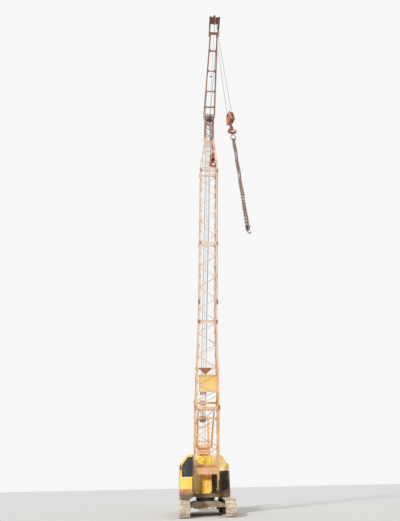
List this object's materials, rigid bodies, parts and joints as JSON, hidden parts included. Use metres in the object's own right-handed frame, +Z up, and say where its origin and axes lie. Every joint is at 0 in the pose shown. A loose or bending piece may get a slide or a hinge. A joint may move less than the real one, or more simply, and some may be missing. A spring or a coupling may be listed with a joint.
{
  "type": "crawler crane",
  "caption": "Lattice boom crawler crane with side cab, machine house, gantry and luffing stays, fixed fly jib, two hook blocks and a hanging chain sling.",
  "frame": {"origin": "the slewing axis, on the ground the tracks stand on", "axes": "+Z up, -Y ahead along the boom, +X to the left of someone in the cab facing ahead"},
  "size_m": [3.81, 25.0505, 29.8152],
  "materials": {
    "yellow_paint": "weathered satin paint",
    "pale_yellow": "faded satin paint",
    "orange_paint": "faded, rust-streaked paint",
    "rust_paint": "rusted paint",
    "dark_steel": "greasy dark steel",
    "track_steel": "dusty steel",
    "block_paint": "faded orange-red paint",
    "rope_steel": "oiled wire rope",
    "chain_steel": "worn steel with light rust",
    "cab_glass": "dark dusty glass",
    "seat_trim": "worn seat cover",
    "engine_grey": "oily cast iron"
  },
  "bodies": {
    "undercarriage": {"carbody": "track_steel", "slew_ring": "dark_steel", "track_frames": "track_steel", "track_left": "track_steel", "track_right": "track_steel", "rollers": "dark_steel", "idlers": "track_steel", "sprockets": "track_steel"},
    "superstructure": {"deck": "yellow_paint", "counterweight": "yellow_paint", "house_shell": "pale_yellow", "engine": "engine_grey", "front_box": "orange_paint", "gantry": "orange_paint", "winch": "orange_paint", "cab_shell": "yellow_paint", "cab_glass": "cab_glass", "cab_interior": "seat_trim"},
    "cab_door": {"cab_door": "yellow_paint"},
    "door_left_a": {"door_left_a": "yellow_paint"},
    "door_left_b": {"door_left_b": "yellow_paint"},
    "door_right_a": {"door_right_a": "yellow_paint"},
    "door_right_b": {"door_right_b": "yellow_paint"},
    "door_rear": {"door_rear": "yellow_paint"},
    "boom": {"boom_foot": "orange_paint", "boom_insert_a": "orange_paint", "boom_insert_b": "orange_paint", "boom_insert_c": "orange_paint", "boom_head": "orange_paint", "boom_board": "yellow_paint", "head_sheaves": "rust_paint", "jib": "rust_paint", "jib_mast": "rust_paint", "jib_stays": "rope_steel", "jib_sheave": "rust_paint"},
    "stay_block": {"gantry_block": "rust_paint"},
    "stays": {"bail": "rust_paint", "pendants": "rope_steel"},
    "backstop_tubes": {"backstop_tubes": "orange_paint"},
    "backstop_rods": {"backstop_rods": "dark_steel"},
    "main_hook": {"main_block": "block_paint", "main_falls": "rope_steel"},
    "jib_hook": {"jib_block": "block_paint", "jib_falls": "rope_steel", "sling": "chain_steel"}
  },
  "joints": [
    {"name": "slew", "type": "hinge", "parent": "undercarriage", "child": "superstructure", "pos_m": [0, 0, 0.93], "axis": [0, 0, 1], "continuous": true},
    {"name": "luff", "type": "hinge", "parent": "superstructure", "child": "boom", "pos_m": [0, -0.95, 1.48], "axis": [-1, 0, 0], "range_deg": [-16.5, 10.5]},
    {"name": "stay_swing", "type": "hinge", "parent": "superstructure", "child": "stay_block", "pos_m": [0, 1.2, 6.2], "axis": [-1, 0, 0], "range_deg": [-18.04, 11.55]},
    {"name": "stay_reeving", "type": "slide", "parent": "stay_block", "child": "stays", "axis": [0, -0.5965, 0.8026], "range_m": [-0.864, 1.356]},
    {"name": "backstop_swing", "type": "hinge", "parent": "superstructure", "child": "backstop_tubes", "pos_m": [0, 0.36, 4.15], "axis": [-1, 0, 0], "range_deg": [-16.85, 10.79]},
    {"name": "backstop_slide", "type": "slide", "parent": "backstop_tubes", "child": "backstop_rods", "axis": [0, -0.8622, 0.5065], "range_m": [-0.546, 0.856]},
    {"name": "main_hook_swing", "type": "hinge", "parent": "boom", "child": "main_hook", "pos_m": [0, -15.07961, 26.60233], "axis": [-1, 0, 0], "range_deg": [-11, 17]},
    {"name": "jib_hook_swing", "type": "hinge", "parent": "boom", "child": "jib_hook", "pos_m": [0, -21, 29.32554], "axis": [-1, 0, 0], "range_deg": [-11, 17]},
    {"name": "cab_door_hinge", "type": "hinge", "parent": "superstructure", "child": "cab_door", "pos_m": [-1.902, -1.1225, 2.09], "axis": [0, 0, -1], "range_deg": [0, 105]},
    {"name": "door_left_a_hinge", "type": "hinge", "parent": "superstructure", "child": "door_left_a", "pos_m": [-1.812, 0.1025, 2.11], "axis": [0, 0, 1], "range_deg": [0, 110]},
    {"name": "door_left_b_hinge", "type": "hinge", "parent": "superstructure", "child": "door_left_b", "pos_m": [-1.812, 1.7575, 2.11], "axis": [0, 0, -1], "range_deg": [0, 110]},
    {"name": "door_right_a_hinge", "type": "hinge", "parent": "superstructure", "child": "door_right_a", "pos_m": [1.812, 0.1025, 2.11], "axis": [0, 0, -1], "range_deg": [0, 110]},
    {"name": "door_right_b_hinge", "type": "hinge", "parent": "superstructure", "child": "door_right_b", "pos_m": [1.812, 1.7575, 2.11], "axis": [0, 0, 1], "range_deg": [0, 110]},
    {"name": "door_rear_hinge", "type": "hinge", "parent": "superstructure", "child": "door_rear", "pos_m": [-0.5575, 2.962, 2.58], "axis": [0, 0, 1], "range_deg": [0, 105]}
  ],
  "couplings": [
    {"joint": "stay_swing", "follows": "luff", "ratio": 1.081},
    {"joint": "stay_reeving", "follows": "luff", "m_per_rad": -4.6942},
    {"joint": "backstop_swing", "follows": "luff", "ratio": 1.0089},
    {"joint": "backstop_slide", "follows": "luff", "m_per_rad": -2.959},
    {"joint": "main_hook_swing", "follows": "luff", "ratio": -1},
    {"joint": "jib_hook_swing", "follows": "luff", "ratio": -1}
  ]
}
